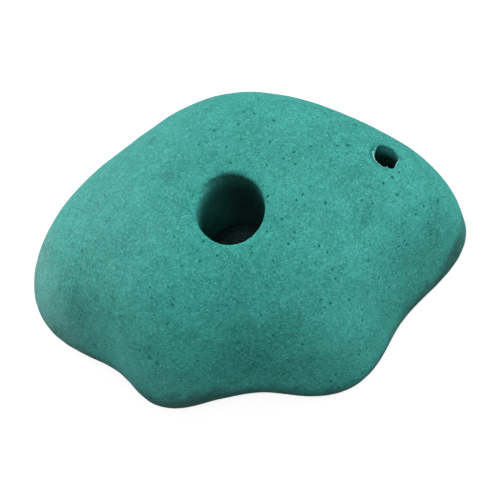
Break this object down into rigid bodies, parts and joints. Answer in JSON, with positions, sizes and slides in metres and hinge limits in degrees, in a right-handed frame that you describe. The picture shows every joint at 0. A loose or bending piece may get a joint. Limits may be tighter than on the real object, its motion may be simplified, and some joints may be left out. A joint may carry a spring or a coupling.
{
  "type": "climbing hold",
  "caption": "Bolt-on climbing wall hold: a smooth cast-resin dome with finger scoops, a deep counterbored bolt hole and a small screw hole.",
  "frame": {"origin": "on the bolt axis at the flat back, where it meets the wall", "axes": "+Z out of the wall along the bolt axis, +X to the right lobe with the screw hole, -Y to the side with the finger scoops"},
  "size_m": [0.1374, 0.1026, 0.0534],
  "materials": {
    "resin": "matte",
    "washer_steel": "satin"
  },
  "bodies": {
    "root": {"hold_body": "resin", "bolt_washer": "washer_steel"}
  },
  "joints": []
}
